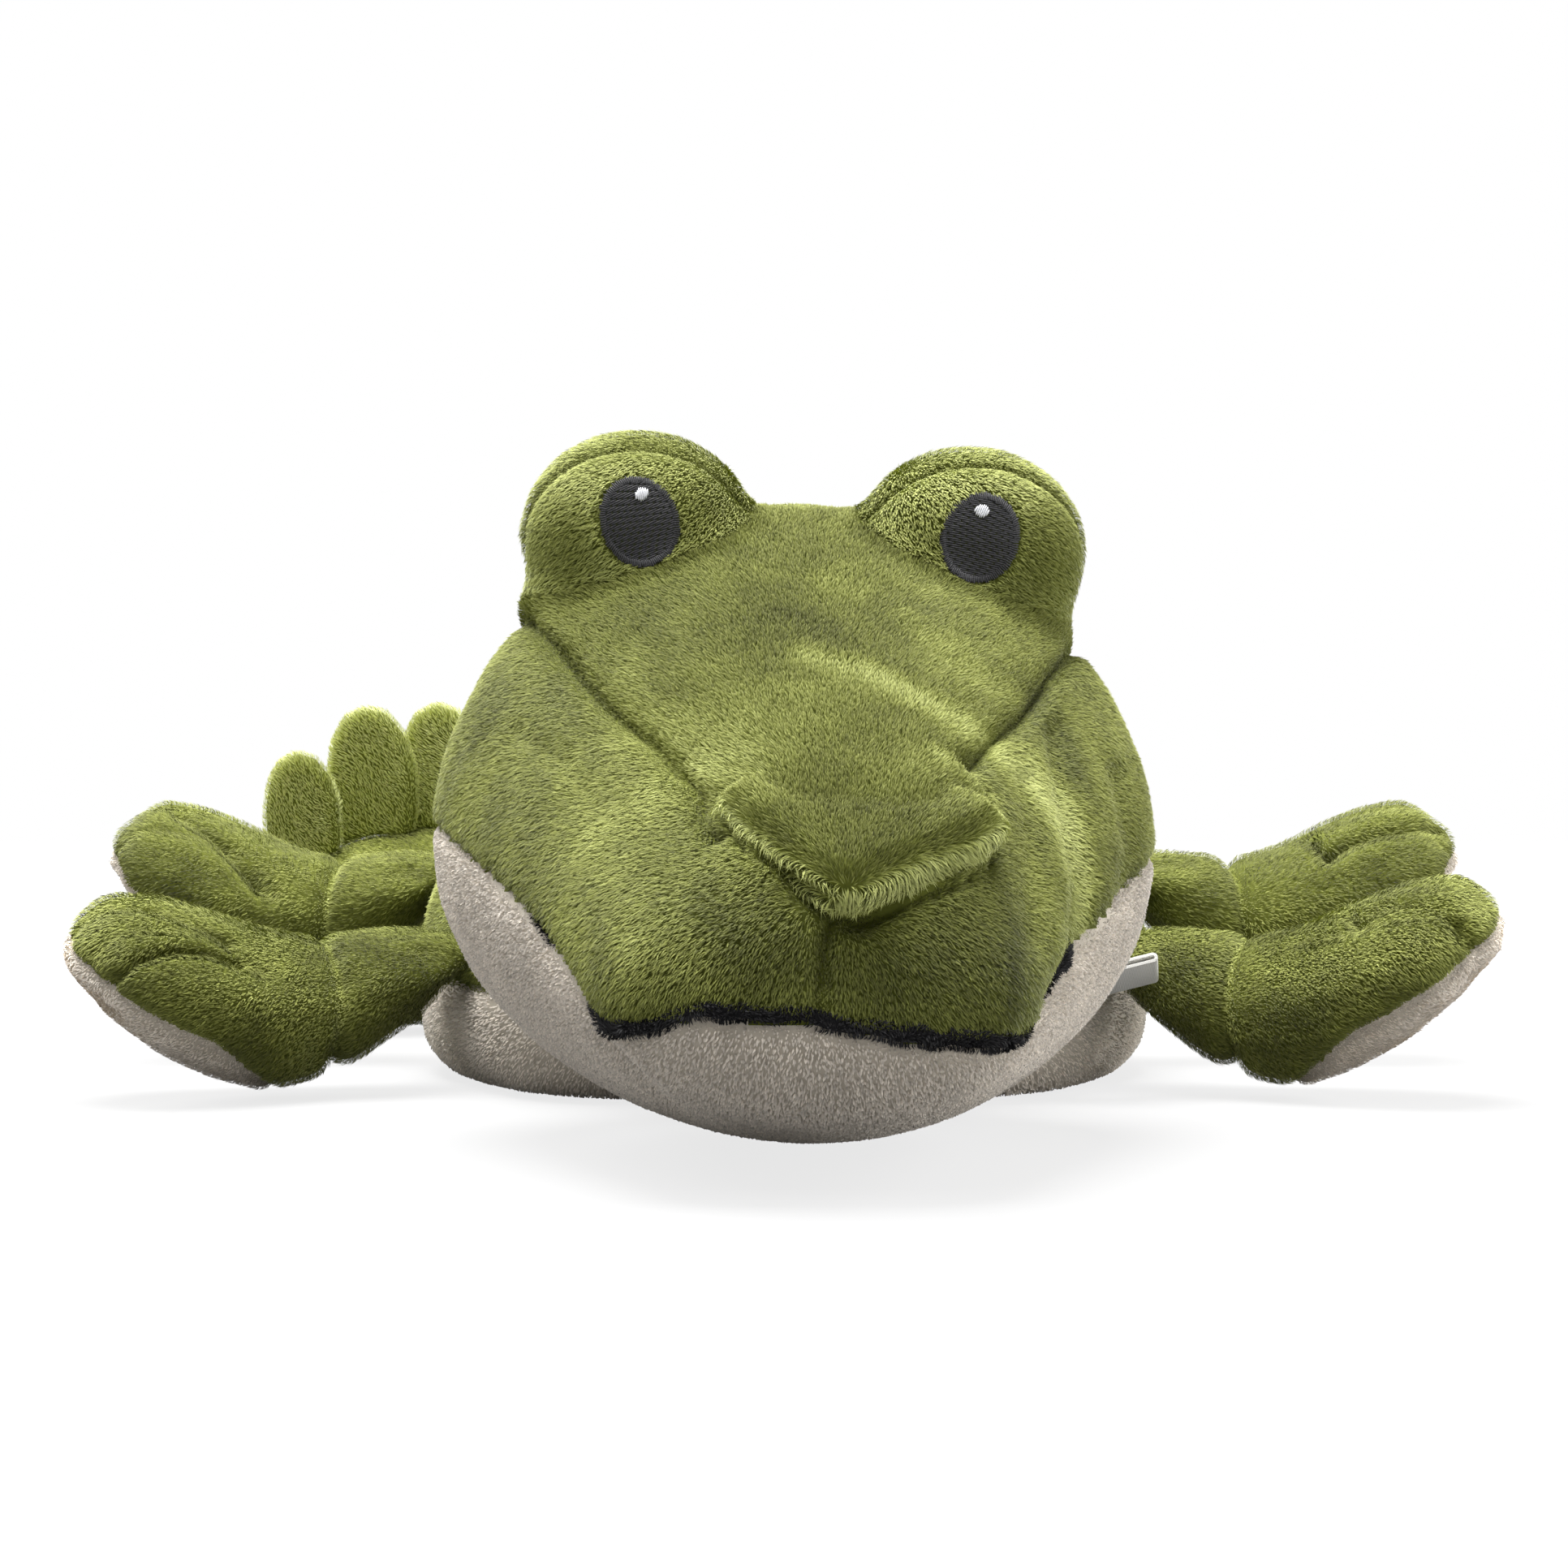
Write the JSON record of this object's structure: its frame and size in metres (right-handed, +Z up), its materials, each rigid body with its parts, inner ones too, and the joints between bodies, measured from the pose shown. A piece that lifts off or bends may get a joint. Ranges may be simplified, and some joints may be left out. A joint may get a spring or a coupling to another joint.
{
  "type": "heatable plush crocodile",
  "caption": "Short-pile plush crocodile lying on its belly, with a big stuffed head, splayed legs, a swept tail with padded scutes, and a belly pocket that holds a grain heat pack.",
  "frame": {"origin": "on the floor under the front of the belly, midway between the two sides", "axes": "+X to the toy's own left, +Y from the snout towards the tail, +Z up"},
  "size_m": [0.3442, 0.3999, 0.1421],
  "materials": {
    "green_plush": "short matt pile, olive green, lighter at the tips",
    "cream_plush": "short matt pile, warm off-white",
    "black_thread": "satin-stitched thread",
    "white_thread": "satin-stitched thread",
    "fibre_filling": "loose polyester fibre",
    "cotton": "plain woven cotton",
    "grain": "loose dry grain",
    "fastener_tape": "hook and loop tape",
    "ribbon": "smooth woven ribbon, bare"
  },
  "bodies": {
    "torso": {"back_cover": "green_plush", "belly_cover": "cream_plush", "pocket_lining": "cotton", "loop_tape": "fastener_tape", "body_filling": "fibre_filling", "back_scute_1": "green_plush", "back_scute_2": "green_plush", "back_scute_3": "green_plush", "back_scute_4": "green_plush", "loop_label": "ribbon"},
    "head": {"head_top_panel": "green_plush", "cheek_panel_right": "green_plush", "cheek_panel_left": "green_plush", "jaw_panel": "cream_plush", "mouth_strip": "black_thread", "head_filling": "fibre_filling", "nose_flap": "green_plush", "eye_mound_front_right": "green_plush", "eye_mound_back_right": "green_plush", "eye_filling_right": "fibre_filling", "stitched_eye_right": "black_thread", "eye_highlight_right": "white_thread", "eye_mound_front_left": "green_plush", "eye_mound_back_left": "green_plush", "eye_filling_left": "fibre_filling", "stitched_eye_left": "black_thread", "eye_highlight_left": "white_thread"},
    "front_left_leg": {"front_left_leg_sleeve": "green_plush", "front_left_paw_top": "green_plush", "front_left_paw_sole": "cream_plush", "front_left_leg_filling": "fibre_filling"},
    "front_right_leg": {"front_right_leg_sleeve": "green_plush", "front_right_paw_top": "green_plush", "front_right_paw_sole": "cream_plush", "front_right_leg_filling": "fibre_filling"},
    "rear_left_leg": {"rear_left_leg_sleeve": "green_plush", "rear_left_paw_top": "green_plush", "rear_left_paw_sole": "cream_plush", "rear_left_leg_filling": "fibre_filling"},
    "rear_right_leg": {"rear_right_leg_sleeve": "green_plush", "rear_right_paw_top": "green_plush", "rear_right_paw_sole": "cream_plush", "rear_right_leg_filling": "fibre_filling"},
    "tail": {"tail_cover": "green_plush", "tail_filling": "fibre_filling", "tail_scute_1": "green_plush", "tail_scute_2": "green_plush", "tail_scute_3": "green_plush", "tail_scute_4": "green_plush", "tail_scute_5": "green_plush", "tail_scute_6": "green_plush"},
    "heat_pack": {"heat_pack_case": "cotton", "grain_filling": "grain"},
    "flap": {"pocket_flap": "cream_plush", "hook_tape": "fastener_tape"}
  },
  "joints": [
    {"name": "neck_nod", "type": "hinge", "parent": "torso", "child": "head", "pos_m": [0, -0.048, 0.048], "axis": [-1, 0, 0], "range_deg": [-8, 20], "stiffness_Nm_per_rad": 0.5},
    {"name": "front_left_lift", "type": "hinge", "parent": "torso", "child": "front_left_leg", "pos_m": [0.07849, 0.00818, 0.031], "axis": [-0.3746, -0.9272, 0], "range_deg": [-3, 35], "stiffness_Nm_per_rad": 0.08},
    {"name": "front_right_lift", "type": "hinge", "parent": "torso", "child": "front_right_leg", "pos_m": [-0.07849, 0.00818, 0.031], "axis": [-0.3746, 0.9272, 0], "range_deg": [-3, 35], "stiffness_Nm_per_rad": 0.08},
    {"name": "rear_left_lift", "type": "hinge", "parent": "torso", "child": "rear_left_leg", "pos_m": [0.08577, 0.08006, 0.047], "axis": [0.0698, -0.9976, 0], "range_deg": [-3, 35], "stiffness_Nm_per_rad": 0.08},
    {"name": "rear_right_lift", "type": "hinge", "parent": "torso", "child": "rear_right_leg", "pos_m": [-0.08577, 0.08006, 0.047], "axis": [0.0698, 0.9976, 0], "range_deg": [-3, 35], "stiffness_Nm_per_rad": 0.08},
    {"name": "tail_sweep", "type": "hinge", "parent": "torso", "child": "tail", "pos_m": [0, 0.149, 0.033], "axis": [0, 0, -1], "range_deg": [0, 40], "stiffness_Nm_per_rad": 0.1},
    {"name": "pack_slide", "type": "slide", "parent": "torso", "child": "heat_pack", "axis": [0, 0, -1], "range_m": [0, 0.06]},
    {"name": "flap_open", "type": "hinge", "parent": "torso", "child": "flap", "pos_m": [0, 0.008, 0], "axis": [-1, 0, 0], "range_deg": [0, 150]}
  ],
  "couplings": [
    {"joint": "flap_open", "follows": "pack_slide", "rad_per_m": 43.633}
  ]
}
